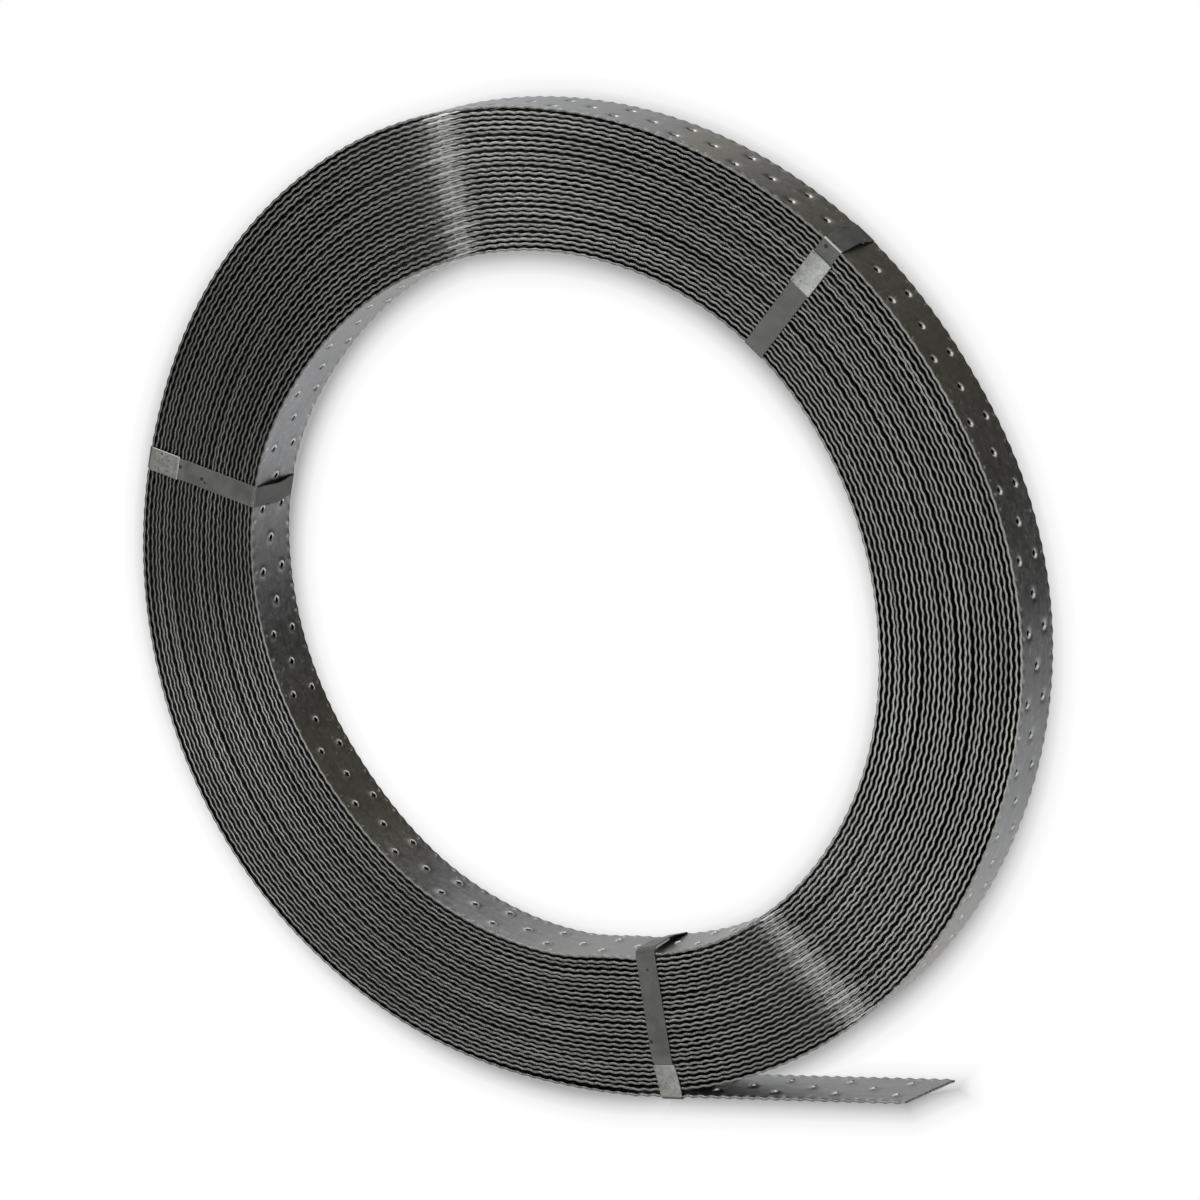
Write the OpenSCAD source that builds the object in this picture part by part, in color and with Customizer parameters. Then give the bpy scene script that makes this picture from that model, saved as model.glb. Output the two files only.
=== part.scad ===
// Roll of punched steel bracing strap, lying on its end. One long galvanised strap is wound round an
// open eye, its loose end runs on straight, and three steel bands, each with a seal, bind it.
// Millimetres. The origin is the centre of the eye, Z is the roll's axis, the strap leaves it at -Y.

/* [Roll] */
// Diameter of the open eye
eye_d = 318; // [280:1:360]
// Number of turns wound on
turns = 29; // [12:1:36]
// Distance from one turn to the next
turn_pitch = 2.22; // [2.12:0.02:3]
// Depth of the gaps between turns that show on each end
gap_depth = 5; // [2:0.5:10]

/* [Strap] */
// Width of the strap
strap_w = 30; // [26:1:40]
// Thickness of the strap
strap_t = 1; // [0.8:0.05:1.2]
// Height of the edge waves above and below the flat
wave_h = 0.4; // [0.2:0.05:0.45]
// Length of one edge wave
wave_pitch = 6; // [4:0.5:8]
// How far the waves reach in from each edge
wave_reach = 3; // [2:0.5:4]

/* [Nail holes] */
// Diameter of a nail hole
hole_d = 3; // [2:0.1:4]
// Distance from one pair of holes to the next, with one middle hole halfway
hole_pitch = 30; // [20:1:40]
// Distance across the strap between the two holes of a pair
pair_gap = 15; // [10:0.5:17]

/* [Loose end] */
// Distance from where the strap leaves the roll to the first pair of holes in the loose end
first_pair = 41; // [38:0.5:44]
// Pairs of holes in the loose end
tail_pairs = 4; // [2:1:8]
// Strap past the last pair, along the upper edge
end_margin = 8; // [5:0.5:20]
// How much longer the lower edge is than the upper edge, at the slanting cut
end_slant = 9; // [0:0.5:20]

/* [Binding bands] */
// Width of a band
band_w = 10; // [8:0.5:14]
// Thickness of a band
band_t = 0.4; // [0.3:0.05:0.7]
// Distance from where the strap leaves the roll to the middle of the front band
front_band_x = 20.7; // [14:0.1:26]
// Angle round from the front to the band on the loose end's side
right_band_angle = 132.5; // [100:0.5:160]
// Angle round from the front to the band on the far side
left_band_angle = 248.5; // [200:0.5:260]

/* [Seals] */
// Length of a seal along its band
seal_l = 17; // [12:0.5:24]
// Thickness of a seal's sheet
seal_t = 0.8; // [0.5:0.1:1.2]
// Distance of the front band's seal in from the roll's outside
front_seal_inset = 0.8; // [0.5:0.1:20]
// Distance of the right band's seal in from the roll's outside
right_seal_inset = 8; // [0.2:0.1:20]
// Distance of the left band's seal in from the roll's outside
left_seal_inset = 2.6; // [0.2:0.1:20]

/* [Hidden] */
eye_r = eye_d / 2;
// On the ends each turn shows its waved edge, so it looks thicker than the flat strap.
turn_face = strap_t + 2 * wave_h;
turn_gap = turn_pitch - turn_face;
wall = turns * turn_face + (turns - 1) * turn_gap;
roll_r = eye_r + wall;
// The strap leaves the roll at the front, with the outer side of its waves level with the roll's,
// so the outer side of its flat lies one wave's height further in.
tail_y = wave_h - roll_r;
tail_l = first_pair + (tail_pairs - 1) * hole_pitch + end_margin;
// Steps of half a wave's slope: a low, a rise, a high and a fall.
wave_steps = 6;
wave_shape = [0, 1, 1, 0, -1, -1];
// Its solid starts inside the roll, at the first of the outer turn's lows past the front.
tail_root = wave_pitch * 5 / 12;
root_step = 4;
// The flat of the strap runs a little way under the waved edges.
wave_lap = 0.5;
flat_w = strap_w - 2 * (wave_reach - wave_lap);
// A hole in the wound turns goes one thickness deep, and its cutter stands this far proud.
proud = 1;
round_fn = 180;
// The outer turn's edges carry real waves: a whole number of them round, on a smooth core.
rim_waves = round(2 * PI * (roll_r - wave_h) / wave_pitch);
rim_core_r = roll_r - 2 * wave_h - strap_t / 2;
rim_lap = 0.25;

// Angle that a length along the round takes up
function arc_angle(length, radius) = length / radius * 180 / PI;

// How many holes fit round a turn, from the first at start, with a little strap kept at the end
function holes_round(radius, start) = floor((2 * PI * radius - start - hole_pitch / 2) / hole_pitch);

// Places a child, drawn with X outwards, at an angle round from the front
module at_angle(angle)
    rotate([0, 0, angle - 90])
        children();

// A tall round bar on the roll's axis
module on_axis(radius)
    cylinder(r = radius, h = 2 * strap_w, center = true, $fn = round_fn);

// The wound turns as one turned solid, with a gap between each turn and the next on both ends
module wound_turns()
    rotate_extrude($fn = round_fn)
        difference() {
            union() {
                translate([eye_r, -strap_w / 2])
                    square([rim_core_r - eye_r, strap_w]);
                translate([eye_r, wave_reach - strap_w / 2])
                    square([roll_r - wave_h - eye_r, strap_w - 2 * wave_reach]);
            }
            for (turn = [1 : turns - 1], side = [-1, 1])
                translate([eye_r + turn * turn_pitch - turn_gap / 2, side * strap_w / 2])
                    square([turn_gap, 2 * gap_depth], center = true);
        }

// Outline of the outer turn's waved edge, with the low between two waves at the front
function rim_outline() = [
    for (i = [0 : rim_waves - 1], corner = [[1, -1], [2, -1], [4, 1], [5, 1]])
        let (angle = 360 / rim_waves * (i - 1 / 4 + corner[0] / wave_steps),
             radius = roll_r - wave_h + corner[1] * wave_h)
        [radius * sin(angle), -radius * cos(angle)]
];

// The outer turn's two waved edges
module rim_waves_both()
    for (edge_z = [-strap_w / 2, strap_w / 2 - wave_reach])
        translate([0, 0, edge_z])
            linear_extrude(wave_reach)
                difference() {
                    polygon(rim_outline());
                    circle(r = rim_core_r - rim_lap, $fn = round_fn);
                }

// The strap's pattern of nail holes in a turn of the given radius, cut from inner to outer
module holes_in_turn(radius, inner, start_pair, start_middle) {
    for (i = [0 : holes_round(radius, start_pair)], side = [-1, 1])
        at_angle(-arc_angle(start_pair + i * hole_pitch, radius))
            translate([inner, 0, side * pair_gap / 2])
                rotate([0, 90, 0])
                    cylinder(d = hole_d, h = strap_t + proud, $fn = 24);
    for (i = [0 : holes_round(radius, start_middle)])
        at_angle(-arc_angle(start_middle + i * hole_pitch, radius))
            translate([inner, 0, 0])
                rotate([0, 90, 0])
                    cylinder(d = hole_d, h = strap_t + proud, $fn = 24);
}

// View from above of a waved edge, from the roll to the tip
module wave_profile(length) {
    steps = ceil(length / wave_pitch * wave_steps);
    step = wave_pitch / wave_steps;
    low = [for (i = [0 : steps]) wave_h * wave_shape[(i + root_step) % wave_steps]];
    polygon(concat(
        [for (i = [0 : steps]) [i * step, low[i]]],
        [for (i = [steps : -1 : 0]) [i * step, low[i] + strap_t]]
    ));
}

// A nail hole through the loose end
module tail_hole(along, height)
    translate([along, tail_y + strap_t + proud, height])
        rotate([90, 0, 0])
            cylinder(d = hole_d, h = strap_t + 2 * proud, $fn = 24);

// The loose end: flat in the middle, waved along both edges, cut off at a slant, with its nail
// holes. The front band presses the waves flat where it passes outside them.
module loose_end() {
    long_l = tail_l + end_slant;
    difference() {
        intersection() {
            union() {
                translate([tail_root, tail_y, -flat_w / 2])
                    cube([long_l - tail_root, strap_t, flat_w]);
                for (edge_z = [-strap_w / 2, strap_w / 2 - wave_reach])
                    translate([tail_root, tail_y, edge_z])
                        linear_extrude(wave_reach)
                            wave_profile(long_l - tail_root);
            }
            translate([0, tail_y + 2 * strap_t, 0])
                rotate([90, 0, 0])
                    linear_extrude(3 * strap_t)
                        polygon([
                            [tail_root, -strap_w / 2],
                            [long_l, -strap_w / 2],
                            [tail_l, strap_w / 2],
                            [tail_root, strap_w / 2]
                        ]);
        }
        translate([front_band_x - band_w / 2, tail_y - strap_t, -strap_w])
            cube([band_w, strap_t, 2 * strap_w]);
        for (i = [0 : tail_pairs - 1], side = [-1, 1])
            tail_hole(first_pair + i * hole_pitch, side * pair_gap / 2);
        for (i = [0 : tail_pairs - 2])
            tail_hole(first_pair + (i + 0.5) * hole_pitch, 0);
    }
}

module strap_roll()
    color([0.62, 0.64, 0.63])
        union() {
            difference() {
                wound_turns();
                holes_in_turn(roll_r, roll_r - wave_h - strap_t,
                    2 * hole_pitch - first_pair, 1.5 * hole_pitch - first_pair);
                holes_in_turn(eye_r, eye_r - proud, hole_pitch, hole_pitch / 2);
            }
            rim_waves_both();
            loose_end();
        }

// A band: bent tight round the whole section of the roll
module band(angle)
    color([0.37, 0.38, 0.37])
        at_angle(angle)
            intersection() {
                rotate_extrude($fn = round_fn)
                    translate([eye_r, -strap_w / 2])
                        difference() {
                            translate([-band_t, -band_t])
                                square([wall + 2 * band_t, strap_w + 2 * band_t]);
                            square([wall, strap_w]);
                        }
                translate([0, -band_w / 2, -strap_w])
                    cube([2 * roll_r, band_w, 2 * strap_w]);
            }

// The band at the front: like the others, but it is bent round the loose end, so it stands square
// to that
module squared_band()
    color([0.37, 0.38, 0.37])
        difference() {
            translate([front_band_x - band_w / 2, tail_y - band_t, -strap_w / 2 - band_t])
                cube([band_w, roll_r - eye_r / 2, strap_w + 2 * band_t]);
            difference() {
                translate([front_band_x - band_w, tail_y, -strap_w / 2])
                    cube([2 * band_w, roll_r, strap_w]);
                on_axis(eye_r);
            }
            on_axis(eye_r - band_t);
        }

// A seal: sheet pressed over the band's two ends, on the upper end of the roll
module seal(angle, inset, aside = 0)
    color([0.72, 0.74, 0.71])
        at_angle(angle)
            translate([roll_r - inset - seal_l, aside, strap_w / 2])
                difference() {
                    translate([0, -band_w / 2 - seal_t, 0])
                        cube([seal_l, band_w + 2 * seal_t, band_t + seal_t]);
                    translate([-seal_l, -band_w / 2, -band_t])
                        cube([3 * seal_l, band_w, 2 * band_t]);
                }

module front_band() squared_band();
module right_band() band(right_band_angle);
module left_band() band(left_band_angle);
module front_seal() seal(0, front_seal_inset, front_band_x);
module right_seal() seal(right_band_angle, right_seal_inset);
module left_seal() seal(left_band_angle, left_seal_inset);

strap_roll();
front_band();
right_band();
left_band();
front_seal();
right_seal();
left_seal();
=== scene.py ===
"""The look of a roll of galvanised steel bracing strap, tied with three steel bands."""

import math

import bmesh
import bpy
from mathutils import Matrix, Vector


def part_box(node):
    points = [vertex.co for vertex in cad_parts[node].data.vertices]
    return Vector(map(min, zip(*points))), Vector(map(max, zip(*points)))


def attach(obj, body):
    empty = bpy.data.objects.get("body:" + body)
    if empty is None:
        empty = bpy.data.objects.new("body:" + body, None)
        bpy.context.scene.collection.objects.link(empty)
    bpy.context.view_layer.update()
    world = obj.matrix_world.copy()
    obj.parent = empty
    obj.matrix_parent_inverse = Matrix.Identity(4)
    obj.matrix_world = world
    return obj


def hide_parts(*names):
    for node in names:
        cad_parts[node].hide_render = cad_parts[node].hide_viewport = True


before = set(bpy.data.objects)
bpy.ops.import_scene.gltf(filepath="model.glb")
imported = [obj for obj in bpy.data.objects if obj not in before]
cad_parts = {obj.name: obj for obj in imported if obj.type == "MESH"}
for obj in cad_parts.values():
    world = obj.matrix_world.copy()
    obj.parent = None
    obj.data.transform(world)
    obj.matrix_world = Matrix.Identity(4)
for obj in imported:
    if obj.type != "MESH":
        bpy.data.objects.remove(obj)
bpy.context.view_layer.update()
scene = bpy.context.scene
mm = 0.001

# ------------------------------------------------------------------------------------------------
# The camera, the table and the light. A plain white studio: the roll lies on its end on a white
# table that lets the light through, under a bright dome with a dark side below and to the right.
# ------------------------------------------------------------------------------------------------

roll_low, roll_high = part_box("strap_roll")
roll_r, strap_w = -roll_low.y, roll_high.z - roll_low.z
eye_r, tail_l, end_slant = 159 * mm, 139 * mm, 9 * mm
floor_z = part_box("right_band")[0].z

# The camera looks down on the roll's upper end, from the right of its axis, and it is turned so
# that the loose end comes lowest.
off_axis, off_level = math.radians(32.4), math.radians(10.3)
camera_turn = math.radians(-8.9)
camera_distance = 8.44 * roll_r
aim_right, aim_up = 0.057 * roll_r, 0.009 * roll_r
back = Vector((
    math.sin(off_axis) * math.cos(off_level),
    math.sin(off_level),
    math.cos(off_axis) * math.cos(off_level),
))
level_right = Vector((math.cos(off_axis), 0, -math.sin(off_axis)))
right = level_right * math.cos(camera_turn) + back.cross(level_right) * math.sin(camera_turn)
up = back.cross(right)
camera_place = right * aim_right + up * aim_up + back * camera_distance
camera_axes = Matrix((right, up, back)).transposed().to_4x4()
camera_data = bpy.data.cameras.new("camera")
camera_data.lens, camera_data.sensor_width = 128, 36
camera_data.clip_start, camera_data.clip_end = 0.05, 50
camera = bpy.data.objects.new("camera", camera_data)
camera.matrix_world = Matrix.Translation(camera_place) @ camera_axes
scene.collection.objects.link(camera)
scene.camera = camera
scene.view_settings.view_transform = "Standard"

floor_w = 3.0
floor_mesh = bpy.data.meshes.new("floor")
bm = bmesh.new()
bmesh.ops.create_grid(
    bm, x_segments=1, y_segments=1, size=floor_w / 2, matrix=Matrix.Translation((0, 0, floor_z)))
bm.to_mesh(floor_mesh)
bm.free()
floor = bpy.data.objects.new("floor", floor_mesh)
scene.collection.objects.link(floor)


class Signal:
    """One socket of a shader. Sums on it add Math nodes, and node() adds any other node."""

    def __init__(self, tree, socket=None):
        self.tree, self.socket = tree, socket

    def node(self, kind, settings, sockets, output=0):
        """Adds a node with its settings made first, fills its sockets, and gives one output."""
        made = self.tree.nodes.new("ShaderNode" + kind)
        for name, value in settings.items():
            if name != "stops":
                setattr(made, name, value)
                continue
            stops = made.color_ramp.elements
            while len(stops) < len(value):
                stops.new(0.5)
            for stop, (position, colour) in zip(stops, value):
                stop.position, stop.color = position, (*colour, 1)
        for name, value in sockets.items():
            if isinstance(value, Signal):
                self.tree.links.new(value.socket, made.inputs[name])
            else:
                made.inputs[name].default_value = value
        return Signal(self.tree, made.outputs[output] if made.outputs else None)

    def put(self, operation, other=0.0):
        """What a Math node makes of this value and another."""
        return self.node("Math", {"operation": operation}, {0: self, 1: other})

    def __add__(self, other):
        return self.put("ADD", other)

    def __sub__(self, other):
        return self.put("SUBTRACT", other)

    def __mul__(self, other):
        return self.put("MULTIPLY", other)

    def __rsub__(self, other):
        return self.node("Math", {"operation": "SUBTRACT"}, {0: other, 1: self})

    __radd__, __rmul__ = __add__, __mul__

    def band(self, low, high):
        """Rises smoothly from 0 to 1 between two values, or falls if low is above high."""
        settings = {"interpolation_type": "SMOOTHSTEP"}
        return self.node("MapRange", settings, {"Value": self, "From Min": low, "From Max": high})

    def ramp(self, *stops):
        """A grey that follows a row of (value, grey) stops."""
        steps = [(value, (tone, tone, tone)) for value, tone in stops]
        return self.node("ValToRGB", {"stops": steps}, {"Fac": self})

    def blend(self, first, second):
        """A mix of two colours, sockets 6 and 7 of a Mix node, by this signal."""
        ends = {"Factor": self, 6: first, 7: second}
        return self.node("Mix", {"data_type": "RGBA"}, ends, 2)

    def split(self):
        """The x, y and z of this vector."""
        parts = self.node("SeparateXYZ", {}, {0: self}).socket.node.outputs
        return [Signal(self.tree, part) for part in parts]

    def here(self):
        """The place of a point on its piece."""
        return self.node("TexCoord", {}, {}, 3)

    def stored(self, name):
        """A number that the mesh carries at each point."""
        return self.node("Attribute", {"attribute_name": name}, {}, 2)

    def noise(self, scale, detail=2.0):
        """Cloudy noise over this place."""
        return self.node("TexNoise", {}, {"Vector": self, "Scale": scale, "Detail": detail})

    def cells(self, scale):
        """How far this place is from the middle of a cell."""
        return self.node("TexVoronoi", {}, {"Vector": self, "Scale": scale})

    def grains(self, scale):
        """A random tone for each cell over this place."""
        return self.node("TexVoronoi", {}, {"Vector": self, "Scale": scale}, 1).split()[0]


# The table is plain white to the camera and clear to the light. A soft shadow is painted on it,
# close round the outline that both ends of the roll and the loose end have from the camera.
shadow_fall = Vector((0.9 * mm, -3.2 * mm, floor_z))
shadow_reach, shadow_core = 16 * mm, 0.2
camera_high = camera_place.z - floor_z
upper_grown = camera_high / (camera_high - strap_w)
upper_shift = Vector((-camera_place.x, -camera_place.y, 0)) * (upper_grown - 1)
low_edge, high_edge = -roll_r, upper_shift.y - roll_r * upper_grown
low_tip, high_tip = tail_l + end_slant, upper_shift.x + tail_l * upper_grown
strip_y, strip_half = (low_edge + high_edge) / 2, (low_edge - high_edge) / 2
tip_slope = (low_tip - high_tip) / (low_edge - high_edge)

floor_paint = bpy.data.materials.new("floor_paint")
floor_paint.use_nodes = True
floor_paint.node_tree.nodes.clear()
floor_mesh.materials.append(floor_paint)
start = Signal(floor_paint.node_tree)
ground = start.node("VectorMath", {"operation": "SUBTRACT"}, {0: start.here(), 1: shadow_fall})
gaps = []
for middle, grown in ((Vector(), 1.0), (upper_shift, upper_grown)):
    reach = start.node("VectorMath", {"operation": "DISTANCE"}, {0: ground, 1: middle}, 1)
    gaps.append((reach - roll_r * grown).put("MAXIMUM", eye_r * grown - reach))
ground_x, ground_y, _ = ground.split()
beside = (ground_y - strip_y).put("ABSOLUTE") - strip_half
past = ground_x - ground_y * tip_slope - (low_tip - low_edge * tip_slope)
past = (past * (1 / math.hypot(1, tip_slope))).put("MAXIMUM", ground_x - low_tip)
strip_gap = beside.put("MAXIMUM", past).put("MAXIMUM", 0 - ground_x)
gap = gaps[0].put("MINIMUM", gaps[1]).put("MINIMUM", strip_gap)
openness = gap * (1 / shadow_reach) + shadow_core
openness = openness.ramp((0.0, 0.4), (0.3, 0.7), (0.6, 0.91), (1.0, 1.0))
white = start.node("Emission", {}, {"Color": openness})
clear = start.node("BsdfTransparent", {}, {})
seen = start.node("MixShader", {}, {0: start.node("LightPath", {}, {}), 1: clear, 2: white})
start.node("OutputMaterial", {}, {"Surface": seen})

# The sky is white to the camera. The dome that lights the roll darkens below on the right, save
# towards the front, and above on the left.
dark_side = Vector((0.52, -0.1, -0.83)).normalized()
dull_side = Vector((-0.78, 0.1, 0.6)).normalized()
dusk_tint, day_tint, dome_power = (1.04, 1.0, 0.9, 1), (0.99, 1.0, 1.01, 1), 1.15

world = bpy.data.worlds.new("studio")
scene.world = world
world.use_nodes = True
world.node_tree.nodes.clear()
start = Signal(world.node_tree)
facing = start.node("TexCoord", {}, {})
to_dark = start.node("VectorMath", {"operation": "DOT_PRODUCT"}, {0: facing, 1: dark_side}, 1)
to_dull = start.node("VectorMath", {"operation": "DOT_PRODUCT"}, {0: facing, 1: dull_side}, 1)
dark_tone = to_dark.ramp(
    (0.44, 0.92), (0.52, 0.72), (0.6, 0.46), (0.68, 0.14), (0.9, 0.12), (1.0, 0.05))
dull_tone = to_dull.ramp((0.55, 0.8), (0.85, 0.36), (0.98, 0.22))
_, to_back, _ = facing.split()
front_tone = (to_back + 1).ramp((0.4, 1.0), (0.52, 0.82), (0.64, 0.48), (0.8, 0.06), (0.92, 0.0))
dome = front_tone.put("MAXIMUM", dark_tone) * dull_tone
tint = dome.band(0.04, 0.3).blend(dusk_tint, day_tint)
lit = start.node("Background", {}, {"Color": tint, "Strength": dome * dome_power})
white = start.node("Background", {}, {"Color": (1, 1, 1, 1), "Strength": 1.0})
seen = start.node("MixShader", {}, {0: start.node("LightPath", {}, {}), 1: lit, 2: white})
start.node("OutputWorld", {}, {"Surface": seen})


def lamp(name, place, aim, size, power):
    """A soft square lamp that shines from its place towards a point."""
    light = bpy.data.lights.new(name, "AREA")
    light.size, light.energy = size, power
    stand = bpy.data.objects.new(name, light)
    stand.location = place
    stand.rotation_mode = "QUATERNION"
    stand.rotation_quaternion = (Vector(aim) - Vector(place)).to_track_quat("-Z", "Y")
    scene.collection.objects.link(stand)


lamp("back_lamp", place=(-0.27, 0.75, 0.33), aim=(0, 0.1, 0), size=0.42, power=2.7)
lamp("edge_lamp", place=(-0.2, -0.1, 0.62), aim=(0.17, 0, 0), size=0.34, power=1.0)

# ------------------------------------------------------------------------------------------------
# The strap. One long strip of galvanised steel, punched with nail holes in a pattern of a pair
# and a single, crimped into small waves along both edges, and wound up from the inside outwards.
# It leaves the roll at the front, and its outer end runs straight on to the right.
# ------------------------------------------------------------------------------------------------

half_w, strap_t = strap_w / 2, 1.0 * mm
wave_h, wave_pitch, wave_reach = 0.4 * mm, 6 * mm, 3 * mm
pressed_wave_h, outer_wave_h, loose_wave_h = 0.27 * mm, 0.2 * mm, 0.3 * mm
hole_r, hole_pitch, row_gap = 1.5 * mm, 30 * mm, 7.5 * mm
dimple_r, dimple_depth, glint_r = 2.9 * mm, 0.55 * mm, 2.5 * mm
first_pair, outer_lead = 41 * mm, 8 * mm
front_band_x = 20.7 * mm
right_angle, left_angle = math.radians(132.5), math.radians(248.5)

turns, full_turn = 29, 2 * math.pi
coil_r = roll_r - wave_h - strap_t / 2
last_turned = turns * full_turn - math.asin(front_band_x / eye_r)
coil_pitch = (coil_r - eye_r - wave_h - strap_t / 2) * full_turn / last_turned

# How the tied coil strays from an even spiral: the bands pull it in and it spreads between them.
# Each row is an angle round from the front, and how far the outside and the eye lie further out.
spreads = (
    (0, -0.4, -4.4), (10, 0.6, -1.3), (24, 1.3, 1.2), (58, 2.7, 0.7), (84, 4.8, -0.9),
    (98, 4.1, -0.6), (115, 1.1, 0.2), (134, 0.5, 1.5), (165, 0.6, 0.2), (192, 2.1, -0.7),
    (222, 0.1, -0.6), (245, -1.2, 0.8), (272, 1.2, -2.6), (300, 3.0, -5.8), (325, 1.2, -3.8),
    (350, -1.4, -3.2),
)

# How unevenly the turns lie, outwards and along the axis: rows of a height in millimetres, how
# fast it comes and goes as the strap winds, and where it starts. It grows from nothing over root_l,
# and its outward part fades towards the coil's outside and towards its eye.
wavers = ((0.15, 2.37, 1), (0.12, 0.713, 0), (0.12, 5.13, 0), (0.06, 9.71, 0))
drifts = ((0.16, 0.9, 2), (0.13, 3.7, 0))
waver_fade, root_l = 8, 60 * mm

# Near the front the turns under the outermost one are held in, less and less over a few turns.
gap_angle, gap_spread, gap_h, gap_turns = math.radians(-6), math.radians(15), 0.8 * mm, 6


def smooth_step(share):
    """Rises smoothly from 0 to 1 as share does."""
    share = min(max(share, 0.0), 1.0)
    return share * share * (3 - 2 * share)


def spread(angle, depth):
    """How far the coil lies out at an angle: a smooth curve through the rows of spreads."""
    degrees = math.degrees(angle) % 360
    count = len(spreads)
    rows = [(spreads[i % count][0] + 360 * (i // count), *spreads[i % count][1:])
            for i in range(-1, count + 2)]
    i = max(i for i in range(1, count + 1) if rows[i][0] <= degrees)
    value = []
    for column in (1, 2):
        before, low, high, after = rows[i - 1], rows[i], rows[i + 1], rows[i + 2]
        span = high[0] - low[0]
        u = (degrees - low[0]) / span
        rise_low = (high[column] - before[column]) / (high[0] - before[0]) * span
        rise_high = (after[column] - low[column]) / (after[0] - low[0]) * span
        value.append(
            (2 * u**3 - 3 * u**2 + 1) * low[column] + (u**3 - 2 * u**2 + u) * rise_low
            + (3 * u**2 - 2 * u**3) * high[column] + (u**3 - u**2) * rise_high)
    return mm * ((1 - depth) * value[0] + depth * value[1])


def strap_used(wound_angle):
    """The length of strap in the turns from the outside in to an angle."""
    return coil_r * wound_angle - coil_pitch * wound_angle**2 / (4 * math.pi)


def turns_at(along):
    """How many turns the strap has made at a length back from the roll's front."""
    return (coil_r - math.sqrt(coil_r**2 - coil_pitch * along / math.pi)) / coil_pitch


def sway(rows, wound_angle):
    """The sum of rows of slow waves at an angle, in millimetres."""
    return sum(height * math.sin(rate * wound_angle + first) for height, rate, first in rows)


def slack(wound_angle):
    """How far the strap lies off its spiral: uneven turns, and a gap under the outermost one."""
    depth = wound_angle / last_turned
    waver = sway(wavers, wound_angle) * min(1.0, waver_fade * depth, waver_fade * (1 - depth))
    turn = math.floor(wound_angle / full_turn)
    held_in = max(0.0, 1 - (turn - 1) / gap_turns) if turn >= 1 else 0.0
    off_gap = math.remainder(-wound_angle - gap_angle, full_turn) / gap_spread
    return waver * mm - gap_h * held_in * math.exp(-(off_gap**2))


def wound(along, across, out):
    """Where a point of the flat strap lies. along runs back from the roll's front, across down."""
    if along <= 0:
        return -along, -coil_r - out, -across
    wound_angle = turns_at(along) * full_turn
    off_root = smooth_step(along / root_l)
    radius = coil_r - coil_pitch * wound_angle / full_turn + out
    radius += off_root * slack(wound_angle) + spread(-wound_angle, wound_angle / last_turned)
    x, y = -radius * math.sin(wound_angle), -radius * math.cos(wound_angle)
    return x, y, -across - off_root * sway(drifts, wound_angle) * mm


def to_step(length):
    """The nearest mesh line to a length along the strap."""
    return round((length + first_pair) / mm) * mm - first_pair


# The strap is made in lengths. Their joints lie under the bands or out of sight behind a turn.
lap, cut_margin = math.radians(8), 3 * mm
front_turned = full_turn - math.asin(front_band_x / roll_r)
outer_turn_l = strap_used(full_turn)
inner_turn_from = strap_used(last_turned - full_turn)
tail_cut = to_step(-tail_l - end_slant - cut_margin)
side_joint = to_step(strap_used(full_turn - left_angle))
outer_joint = to_step(strap_used(front_turned))
inner_joint = to_step(strap_used(last_turned - full_turn - lap))
inner_end = to_step(strap_used(last_turned))


def new_finish(name):
    """A new material: its shader, and a Signal to start its pattern from."""
    finish = bpy.data.materials.new(name)
    finish.use_nodes = True
    tree = finish.node_tree
    return finish, tree.nodes["Principled BSDF"], Signal(tree)


def feed(shader, **signals):
    """Links signals to the shader's sockets, named with _ for a space."""
    for name, signal in signals.items():
        socket = shader.inputs[name.replace("_", " ")]
        signal.tree.links.new(signal.socket, socket)


def grey(value, warm=0.0):
    """A grey colour, a little yellower or, below 0, bluer."""
    return (value * (1 - 0.25 * warm), value, value * (1 - warm), 1)


def round_roll(start):
    """The angle round the roll: 0.5 is the front, and 0 and 1 the back."""
    x, y, _ = start.here().split()
    return x.put("ARCTAN2", 0 - y) * (1 / full_turn) + 0.5


# Zinc on the strap's faces: cool grey, with faint crystals and streaks along the rolling direction,
# and dull brownish oil, most where the roll is handled. Painted glints lie on the burrs round
# the holes, most on one side, and on the crests of the edges' waves; scuffs are bare steel.
dull_zinc, bright_zinc = grey(0.21), grey(0.35, -0.02)
oil_stain, glint_and_bare_steel = (0.265, 0.25, 0.205, 1), grey(0.95)
glint_inset, glint_w, glint_inner_blur, glint_outer_blur = 1.3 * mm, 1.5 * mm, 0.6 * mm, 0.4 * mm

zinc, zinc_shader, start = new_finish("galvanised_strap")
along, rim = start.stored("along"), start.stored("rim")
_, _, across = start.here().split()
flat_place = start.node("CombineXYZ", {}, {0: along, 1: across})
crystal = flat_place.grains(420.0)
streaks = start.node("CombineXYZ", {}, {0: along * 0.05, 1: across}).noise(900.0, 3.0)
patches = flat_place.noise(26.0, 5.0)
stains = flat_place.noise(7.0, 4.0)
flecks = flat_place.noise(330.0, 1.0)
zinc_tone = (crystal * 0.2 + streaks * 0.5 + patches * 0.5).band(0.3, 0.95)
handled = round_roll(start).ramp(
    (0.27, 0.0), (0.31, 0.9), (0.36, 0.9), (0.4, 0.0),
    (0.77, 0.0), (0.82, 0.9), (0.88, 0.9), (0.93, 0.0))
stained = stains.band(0.5, 0.68).put("MAXIMUM", handled)
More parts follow.
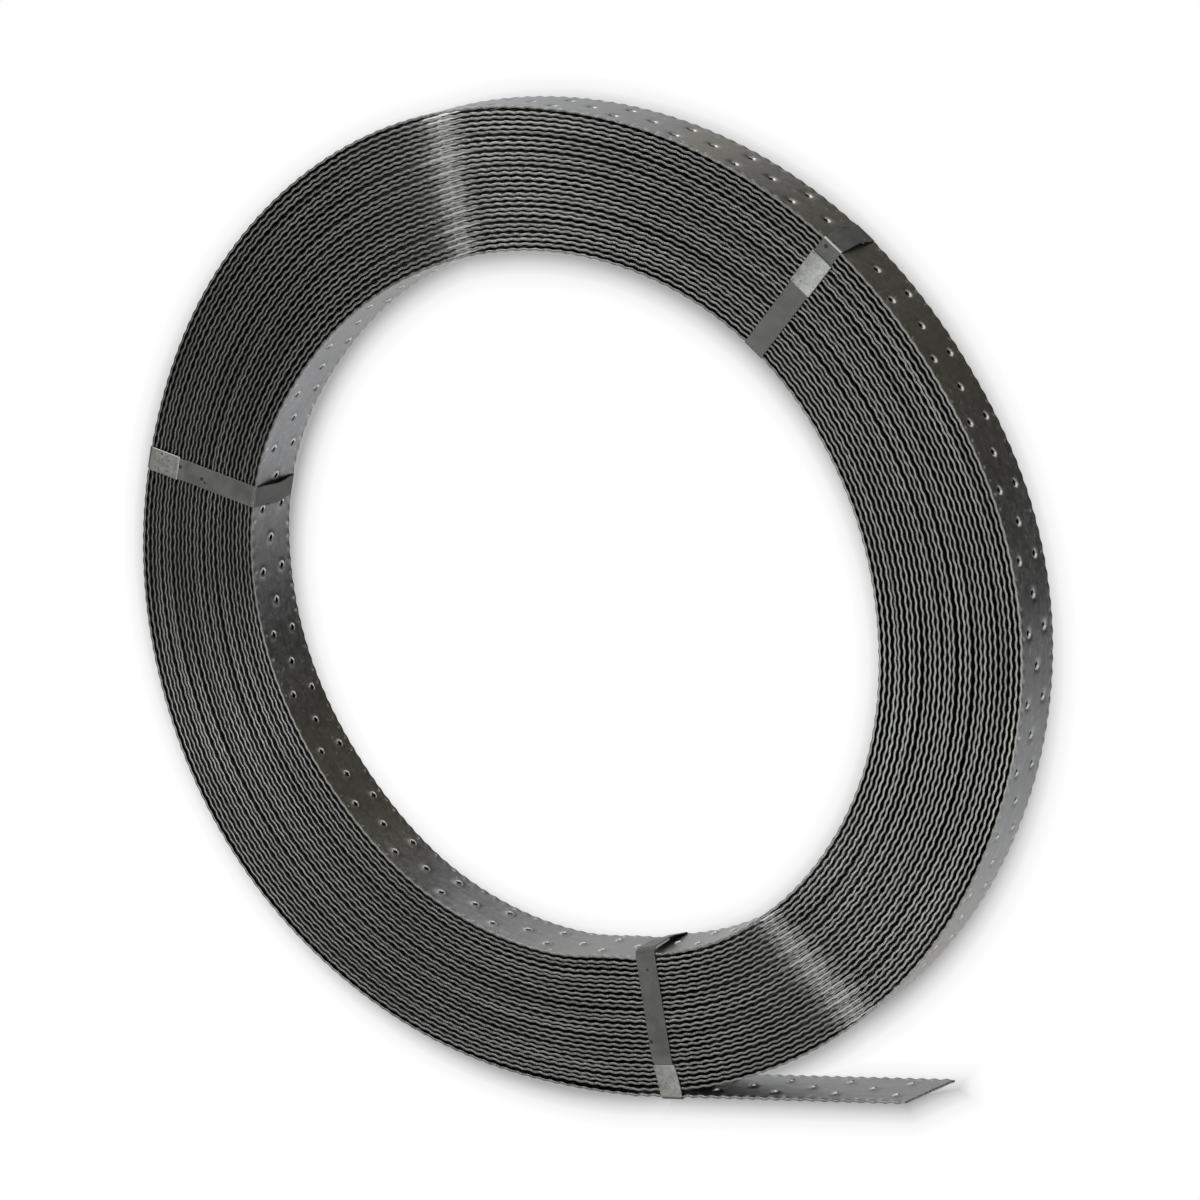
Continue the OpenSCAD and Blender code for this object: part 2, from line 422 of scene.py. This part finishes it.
# Painted glints on the crests of the waves, close inside the edges.
crest = (along * (full_turn / wave_pitch)).put("COSINE").band(0.45, 0.85)
off_middle, glint_from = across.put("ABSOLUTE"), half_w - glint_inset - glint_w
crest_glint = off_middle.band(glint_from - glint_inner_blur, glint_from)
crest_glint = crest_glint * off_middle.band(half_w - glint_inset + glint_outer_blur, half_w - glint_inset)
crest_glint = crest * crest_glint * flecks.band(0.44, 0.66) * 0.3
scuffs = flecks.band(0.6, 0.74) * patches.band(0.4, 0.6) * 0.14
# Painted glints round the holes and on the crests, and real scuffs, in near-white steel.
glints_and_scuffs = rim.put("MAXIMUM", crest_glint + scuffs)
coated = stained.blend(zinc_tone.blend(dull_zinc, bright_zinc), oil_stain)
rolled = {"Strength": 0.12, "Distance": 0.0002, "Height": crystal + streaks}
feed(
    zinc_shader,
    Base_Color=glints_and_scuffs.blend(coated, glint_and_bare_steel),
    Metallic=1 - glints_and_scuffs * 0.9,
    Roughness=patches * 0.16 + crystal * 0.08 + 0.28,
    Normal=start.node("Bump", {}, rolled),
)

# Between the turns the zinc is painted near black as shade, cloudy with dust. At the back and
# a little to the right of the front, painted light lies between the waves in dashes, one to a wave.
painted_shade, dusty_painted_shade, painted_gleam = grey(0.002, 0.02), grey(0.006), grey(0.26)

shaded, shaded_shader, start = new_finish("zinc_between_turns")
shaded_shader.inputs["Specular IOR Level"].default_value = 0.3
dust = start.here().noise(90.0)
dashes = (start.stored("along") * (full_turn / wave_pitch)).put("SINE").band(-0.5, 0.1)
# Painted light in dashes, at the back and a little to the right of the front.
painted_gleam_dashes = dashes * round_roll(start).ramp(
    (0.0, 1.0), (0.02, 0.3), (0.035, 0.0), (0.56, 0.0), (0.61, 0.9), (0.66, 0.0), (0.93, 0.0),
    (0.96, 0.15), (0.98, 0.5), (1.0, 1.0))
feed(
    shaded_shader,
    Base_Color=painted_gleam_dashes.blend(dust.band(0.35, 0.7).blend(painted_shade, dusty_painted_shade), painted_gleam),
    Roughness=dust * 0.2 + 0.35,
)

# The sheared edges: bare steel, with a fine drag from the shears. Round the roll they are painted
# darker and lighter by the angle, as painted shade and painted highlights.
dull_edge, bright_edge = grey(0.21, 0.08), grey(0.48, 0.08)

sheared, sheared_shader, start = new_finish("sheared_edge")
sheared_shader.inputs["Metallic"].default_value = 1.0
drag = start.here().noise(700.0)
stretches = start.node("CombineXYZ", {}, {0: start.stored("along")}).noise(9.0)
# Painted light and shade: the edges' brightness set by the angle round the roll.
painted_light_round_roll = round_roll(start).ramp(
    (0.0, 0.62), (0.03, 0.48), (0.08, 0.5), (0.15, 0.34), (0.23, 0.42), (0.29, 0.95), (0.4, 0.5),
    (0.5, 0.6), (0.54, 0.66), (0.58, 0.62), (0.62, 0.98), (0.7, 1.12), (0.8, 0.82), (0.94, 0.57),
    (1.0, 0.62))
edge_tone = (drag * 0.5 + stretches * 0.9).band(0.35, 1.0).blend(dull_edge, bright_edge)
darken = {"data_type": "RGBA", "blend_type": "MULTIPLY"}
feed(
    sheared_shader,
    Base_Color=start.node("Mix", darken, {"Factor": 1.0, 6: edge_tone, 7: painted_light_round_roll}, 2),
    Roughness=drag * 0.2 + 0.32,
    Normal=start.node("Bump", {}, {"Strength": 0.9, "Distance": 0.0005, "Height": drag}),
)

# The flat strap's mesh has a line across it every millimetre, and lines along it as close at the
# waves and the holes. Round a hole, two square rings of them are drawn on to circles.
row_steps = (0.9 * mm, 1.7 * mm, 2.6 * mm)
ring_radii = {2: hole_r, 3: 2.5 * mm}
edge_steps = 4


def lines_along(holed):
    """Where the flat strap's mesh lines lie across it: close together at the waves and holes."""
    if not holed:
        return [-half_w, wave_reach - half_w, half_w - wave_reach, half_w]
    wave_lines = [half_w - wave_reach * step / edge_steps for step in range(edge_steps + 1)]
    lines = wave_lines + [-line for line in wave_lines]
    lines += [1.5 * row_gap, 0.5 * row_gap, -0.5 * row_gap, -1.5 * row_gap]
    for row in (-row_gap, 0, row_gap):
        lines += [row] + [row + step for step in row_steps] + [row - step for step in row_steps]
    return sorted(lines)


def on_ring(i, j, radius):
    """The point on a circle that stands for a point i, j of a square grid ring."""
    if abs(i) >= abs(j):
        angle = math.radians(45 * j / i + (180 if i < 0 else 0))
    else:
        angle = math.radians(90 - 45 * i / j + (180 if j < 0 else 0))
    return radius * math.cos(angle), radius * math.sin(angle)


def pair_lead(along):
    """How far back from the roll's front the row of pairs starts, as counted in one length."""
    return first_pair + (outer_lead if along > side_joint else 0)


def punch(bm, begin, lines):
    """Opens the nail holes in the flat grid and makes them round."""
    steps = round(hole_pitch / mm)
    pair_column = round((-pair_lead(begin + mm) - begin) / mm)
    pattern = ((-row_gap, 0), (0, steps // 2), (row_gap, 0))
    rows = [(lines.index(row), shift) for row, shift in pattern]
    waste = []
    for vert in bm.verts:
        column = round((vert.co.x - begin) / mm)
        line = lines.index(min(lines, key=lambda value: abs(value - vert.co.y)))
        for row, shift in rows:
            i = (column - pair_column - shift + steps // 2) % steps - steps // 2
            j = line - row
            ring = max(abs(i), abs(j))
            if ring < min(ring_radii):
                waste.append(vert)
            elif ring in ring_radii:
                ring_x, ring_y = on_ring(i, j, ring_radii[ring])
                vert.co.x += ring_x - i * mm
                vert.co.y = lines[row] + ring_y
    bmesh.ops.delete(bm, geom=waste, context="VERTS")


def hole_offsets(along, across):
    """How far a point lies from the nearest nail hole of each row, along and across the strap."""
    rows = ((-row_gap, 0), (0, hole_pitch / 2), (row_gap, 0))
    lead = pair_lead(along)
    return [(math.remainder(along + lead - shift, hole_pitch), across - row) for row, shift in rows]


# The waves of a wound turn nest in the next one's for a few turns on end, and slip slowly: rows of
# a share of a wave, how fast it comes and goes as the strap winds, and where it starts.
nested_turns, steady_slip = 5, 0.13
slips = ((0.12, 8.6, 0), (0.07, 20.2, 0))


def wave_turns(along, holed):
    """How many waves lie before a length. Wound turns nest, so each has the waves of the next."""
    if holed:
        return along / wave_pitch
    turned = turns_at(along)
    nest = math.floor(turned / nested_turns) * nested_turns + nested_turns / 2
    nested = round(full_turn * (coil_r - coil_pitch * nest) / wave_pitch)
    return nested * (turned % 1) + steady_slip * turned + sway(slips, turned)


def pressed(along, across, holed):
    """How far the strap's face is pushed outwards: waves on the edges, dimples round the holes."""
    wave = smooth_step((abs(across) - half_w + wave_reach) / wave_reach)
    height = pressed_wave_h if not holed else loose_wave_h if along < 0 else outer_wave_h
    push = -height * wave
    if wave:
        push *= math.cos(full_turn * wave_turns(along, holed))
    for offset in hole_offsets(along, across) if holed else ():
        from_hole = math.hypot(*offset)
        push -= dimple_depth * smooth_step((dimple_r - from_hole) / (dimple_r - hole_r))
    return push


# The painted glint round each hole: how faint it is on its dim side, and how fast it fades.
least_glint, glint_side_steep, glint_steep = 0.1, 2, 1.6


def hole_glint_at(along, across):
    """How strong the painted glint round a nail hole is: its burr painted near white, most on the
    side further along the strap.
    """
    off_along, off_across = min(hole_offsets(along, across), key=lambda offset: math.hypot(*offset))
    from_hole = math.hypot(off_along, off_across)
    glint_side = least_glint + (1 - least_glint) * smooth_step(glint_side_steep * off_along / from_hole)
    return glint_side * smooth_step(glint_steep * (glint_r - from_hole) / (glint_r - hole_r))


def add_piece(name, bm, finishes, node):
    """Turns a finished mesh into a piece that stands in for a part of the roll."""
    mesh = bpy.data.meshes.new(name)
    bmesh.ops.recalc_face_normals(bm, faces=bm.faces[:])
    bm.to_mesh(mesh)
    bm.free()
    for finish in finishes:
        mesh.materials.append(finish)
    piece = bpy.data.objects.new(name, mesh)
    scene.collection.objects.link(piece)
    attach(piece, "root")
    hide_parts(node)


def strap_length(name, begin, end, holed):
    """Makes one closed length of the strap flat, punches and presses it, and winds it up."""
    columns = round((end - begin) / mm)
    lines = lines_along(holed)
    bm = bmesh.new()
    bmesh.ops.create_grid(bm, x_segments=columns, y_segments=len(lines) - 1, size=0.5)
    for vert in bm.verts:
        vert.co.x = begin + round((vert.co.x + 0.5) * columns) * mm
        vert.co.y = lines[round((vert.co.y + 0.5) * (len(lines) - 1))]
    if holed:
        punch(bm, begin, lines)
    if begin < 0:
        slant = Vector((-strap_w, -end_slant, 0)).normalized()
        bmesh.ops.bisect_plane(
            bm, geom=bm.verts[:] + bm.edges[:] + bm.faces[:],
            plane_co=(-tail_l - end_slant / 2, 0, 0), plane_no=slant, clear_outer=True)
    raised = bmesh.ops.extrude_face_region(bm, geom=bm.faces[:])["geom"]
    raised = [item for item in raised if isinstance(item, bmesh.types.BMVert)]
    bmesh.ops.translate(bm, verts=raised, vec=(0, 0, strap_t))
    bmesh.ops.recalc_face_normals(bm, faces=bm.faces[:])

    # The faces that show are clean zinc, those between two turns are shaded, and the rest sheared.
    for face in bm.faces:
        face.smooth = True
        middle, side = face.calc_center_median(), face.normal.z
        if abs(side) < 0.5:
            face.material_index = 0 if holed and abs(middle.y) < half_w - wave_reach else 1
        elif side > 0:
            face.material_index = 0 if middle.x < outer_turn_l else 2
        else:
            face.material_index = 0 if middle.x < 0 or middle.x > inner_turn_from else 2
    along_layer = bm.verts.layers.float.new("along")
    # The painted glint round the holes is carried on the mesh.
    hole_glint_layer = bm.verts.layers.float.new("rim")
    for vert in bm.verts:
        x, y, z = vert.co
        vert[along_layer] = x
        vert[hole_glint_layer] = hole_glint_at(x, y) if holed else 0.0
        vert.co = wound(x, y, z - strap_t / 2 + pressed(x, y, holed))
    add_piece(name, bm, (zinc, sheared, shaded), "strap_roll")


# The core is cut under the front band into four lengths of about as many turns each.
core_lengths, core_turns = 4, 26.5
core_cuts = [round(core_turns * part / core_lengths) for part in range(1, core_lengths)]
core_joints = [to_step(strap_used(full_turn * (1 + cut) + front_turned)) for cut in core_cuts]
core_ends = [outer_joint, *core_joints, inner_joint]
strap_length("loose_end", tail_cut, side_joint, True)
strap_length("outer_turn", side_joint, outer_joint, True)
for number, (begin, end) in enumerate(zip(core_ends, core_ends[1:]), 1):
    strap_length(f"wound_turns_{number}", begin, end, False)
strap_length("inner_turn", inner_joint, inner_end, True)

# ------------------------------------------------------------------------------------------------
# The three bands. Each is a thin dark steel strapping, bent tight round the whole section, through
# the eye and over the outside, with its two ends one over the other under the seal.
# ------------------------------------------------------------------------------------------------

band_w, band_t = 10 * mm, 0.4 * mm
lap_l, lap_rise_l, lap_gap = 12 * mm, 4 * mm, 0.05 * mm
bend_steps, bend_step = 6, math.radians(15)
right_seal_mid, left_seal_mid, front_seal_mid = 205.8 * mm, 212 * mm, 214.9 * mm
dark_steel, pale_steel, pit, bare_steel_and_highlight = (
    grey(0.072, 0.1), grey(0.105, 0.1), grey(0.012, 0.02), grey(0.5))

band_steel, band_shader, start = new_finish("band_steel")
band_shader.inputs["Metallic"].default_value = 0.25
here, crease = start.here(), start.stored("crease")
mottle, grime = here.noise(120.0, 4.0), here.noise(34.0, 5.0)
# Lighter at tight bends: worn steel there, and a painted highlight along the crease.
crease_wear_and_highlight = (crease * (mottle + 0.25)).band(0.35, 0.7)
clear_of_pits = (here.cells(190.0).band(0.14, 0.24) + grime.band(0.5, 0.45)).band(0.2, 0.8)
spotted = clear_of_pits.blend(pit, mottle.band(0.3, 0.7).blend(dark_steel, pale_steel))
feed(
    band_shader,
    Base_Color=crease_wear_and_highlight.blend(spotted, bare_steel_and_highlight),
    Roughness=mottle * 0.2 + 0.36,
)


def section_face(angle, wound_before, depth, side):
    """The radius of the coil's outside or of its eye at an angle, at the crests of its waves."""
    turned = (-angle) % full_turn + wound_before
    radius = coil_r - coil_pitch * turned / full_turn
    return radius + spread(angle, depth) + side * (wave_h + strap_t / 2)


def band_route(inner, inner_low, outer, seal_mid, rounds, arches, creases):
    """The line that a band follows round the section, as (radius, depth), from seal to seal."""
    corners = [(outer, -1), (outer, 1), (inner_low, 1), (inner, -1)]
    headings = [Vector(way) for way in ((1, 0), (0, 1), (-1, 0), (0, -1), (1, 0))]
    route = [Vector((seal_mid - lap_l / 2, -half_w))]
    bends = [0.0]
    for corner, heading, onward, bend_r, arch, wear_and_highlight in zip(
            corners, headings, headings[1:], rounds, arches, creases):
        corner = Vector((corner[0], corner[1] * half_w))
        begin, end = route[-1], corner - heading * bend_r
        out = Vector((heading.y, -heading.x))
        steps = max(3, round((end - begin).length / mm))
        for step in range(1, steps + 1):
            rise = arch * math.sin(math.pi * step / steps) ** 2
            route.append(begin.lerp(end, step / steps) + out * rise)
            bends.append(0.0)
        centre = end + onward * bend_r
        for step in range(1, bend_steps + 1):
            turn = bend_step * step
            arm = heading * math.sin(turn) - onward * math.cos(turn)
            route.append(centre + arm * bend_r)
            bends.append(wear_and_highlight if 2 <= step <= 4 else 0.0)
    begin, end = route[-1], Vector((seal_mid + lap_l / 2, -half_w))
    steps = round((end - begin).length / mm)
    for step in range(1, steps + 1):
        point = begin.lerp(end, step / steps)
        lift = smooth_step((point.x - seal_mid + lap_l) / lap_rise_l)
        route.append(point - Vector((0, (band_t + lap_gap) * lift)))
        bends.append(0.0)
    return route, bends


def bent_strip(name, route, bends, width, thickness, place, finish):
    """Bends a flat strap along a route, with its width set across it by place()."""
    lines = [width * share for share in (-0.5, -0.47, -0.3, 0, 0.3, 0.47, 0.5)]
    bm = bmesh.new()
    bmesh.ops.create_grid(bm, x_segments=len(route) - 1, y_segments=len(lines) - 1, size=0.5)
    raised = bmesh.ops.extrude_face_region(bm, geom=bm.faces[:])["geom"]
    raised = [item for item in raised if isinstance(item, bmesh.types.BMVert)]
    bmesh.ops.translate(bm, verts=raised, vec=(0, 0, thickness))
    layer = bm.verts.layers.float.new("crease")
    for vert in bm.verts:
        column = round((vert.co.x + 0.5) * (len(route) - 1))
        line = lines[round((vert.co.y + 0.5) * (len(lines) - 1))]
        run = route[min(column + 1, len(route) - 1)] - route[max(column - 1, 0)]
        out = Vector((run.y, -run.x)).normalized()
        vert[layer] = bends[column]
        vert.co = place(route[column] + out * vert.co.z, line)
    for face in bm.faces:
        face.smooth = True
    add_piece(name, bm, (finish,), name)


def on_spoke(angle):
    """Places a band or a seal that lies along a spoke of the roll."""
    def place(point, aside):
        x = point.x * math.sin(angle) + aside * math.cos(angle)
        return x, aside * math.sin(angle) - point.x * math.cos(angle), -point.y
    return place


# The front band leans a little, towards the loose end at its outer corner, and slackens in the eye.
front_tilt, front_lean, front_aside = math.radians(9), 2.2 * mm, 1.2 * mm
lean_from, lean_l, inner_lean, stand_off = 200 * mm, 20 * mm, 2.2 * mm, 0.8 * mm
front_inner, front_outer = 153.8 * mm, coil_r + strap_t / 2 + stand_off
front_rounds, front_arches = (0.8 * mm, 0.8 * mm, 1.5 * mm, 3 * mm), (0.0, 0.0, 0.0, 1.0 * mm)
front_creases = (0.2, 0, 0, 0)


def squared(point, aside):
    """Places the front band: square to the loose end outside, and tilted in the eye."""
    share = (front_outer - point.x) / (front_outer - front_inner)
    lean = front_lean * smooth_step((point.x - lean_from) / lean_l)
    middle = front_band_x - front_aside + lean
    tilt = front_tilt * smooth_step(share)
    return middle + aside * math.cos(tilt), aside * math.sin(tilt) - point.x, -point.y


# For each side band: its angle, the middle of its seal, and for its four corners in turn how
# round the bend is and how far the run before it arches, in millimetres, and how much wear and
# painted highlight the bend has.
band_rows = (
    ("right", right_angle, right_seal_mid,
     (0.9, 1.0, 1.2, 1.0), (0.0, 2.2, 0.0, 0.6), (1, 0.3, 0, 0)),
    ("left", left_angle, left_seal_mid,
     (1.0, 1.2, 1.5, 1.6), (0.0, 0.5, 0.0, 2.0), (0.4, 0, 0, 0)),
)
for side, angle, seal_mid, rounds, arches, creases in band_rows:
    inner = section_face(angle, full_turn * (turns - 1), 1, -1)
    outer = section_face(angle, 0, 0, 1)
    rounds = [bend_r * mm for bend_r in rounds]
    arches = [arch * mm for arch in arches]
    route, bends = band_route(inner, inner, outer, seal_mid, rounds, arches, creases)
    bent_strip(
        side + "_band", route, bends, band_w, band_t, on_spoke(angle), band_steel)
route, bends = band_route(
    front_inner, front_inner + inner_lean, front_outer, front_seal_mid,
    front_rounds, front_arches, front_creases)
bent_strip("front_band", route, bends, band_w, band_t, squared, band_steel)

# ------------------------------------------------------------------------------------------------
# The three seals. Each is a short sleeve of bright zinc-coated sheet, pressed flat round the two
# ends of its band, with its lips folded in behind them.
# ------------------------------------------------------------------------------------------------

seal_t, seal_round, seal_lip, sheet_gap = 0.4 * mm, 0.5 * mm, 2.5 * mm, 0.1 * mm
round_steps, round_step = 5, 22.5
dull_sheet, bright_sheet, spot = grey(0.24, 0.07), grey(0.4, 0.07), grey(0.12, 0.02)

seal_steel, seal_shader, start = new_finish("seal_steel")
seal_shader.inputs["Metallic"].default_value = 0.9
here = start.here()
cloud = here.noise(260.0, 5.0)
sheet = (here.grains(900.0) * 0.35 + cloud * 0.9).band(0.2, 1.1).blend(dull_sheet, bright_sheet)
clear_of_spots = (here.cells(420.0).band(0.12, 0.25) + cloud.band(0.55, 0.45)).band(0.2, 0.8)
feed(
    seal_shader,
    Base_Color=clear_of_spots.blend(spot, sheet),
    Roughness=cloud * 0.25 + 0.3,
    Normal=start.node("Bump", {}, {"Strength": 0.2, "Distance": 0.0003, "Height": cloud}),
)


def seal_route(width):
    """The line of a seal's sheet round its band, as (aside, depth), from lip to lip."""
    half, back_y = width / 2, -half_w + sheet_gap
    front_y = -half_w - 2 * band_t - sheet_gap
    route = [Vector((half - seal_lip, back_y)), Vector((half - seal_round, back_y))]
    for side, centre_y, first in ((1, back_y - seal_round, 90), (1, front_y + seal_round, 0),
                                  (-1, front_y + seal_round, 270), (-1, back_y - seal_round, 180)):
        centre = Vector((side * (half - seal_round), centre_y))
        for step in range(round_steps):
            turn = math.radians(first - round_step * step)
            route.append(centre + seal_round * Vector((math.cos(turn), math.sin(turn))))
    route += [Vector((seal_round - half, back_y)), Vector((seal_lip - half, back_y))]
    return route


def across_spoke(spoke, middle):
    """Places a seal, whose sheet is bent across its band, by the way its band is placed."""
    def place(point, along_band):
        return spoke(Vector((middle + along_band, point.y)), point.x)
    return place


# For each seal: how it's placed, where its middle is, its length along the band, and its width.
seal_rows = (
    ("right", on_spoke(right_angle), right_seal_mid, 17.5 * mm, 11.2 * mm),
    ("left", on_spoke(left_angle), left_seal_mid, 16 * mm, 11.2 * mm),
    ("front", squared, front_seal_mid, 14.8 * mm, 11.0 * mm),
)
for side, spoke, middle, length, width in seal_rows:
    route = seal_route(width)
    bends = [0.0] * len(route)
    place = across_spoke(spoke, middle)
    bent_strip(side + "_seal", route, bends, length, seal_t, place, seal_steel)
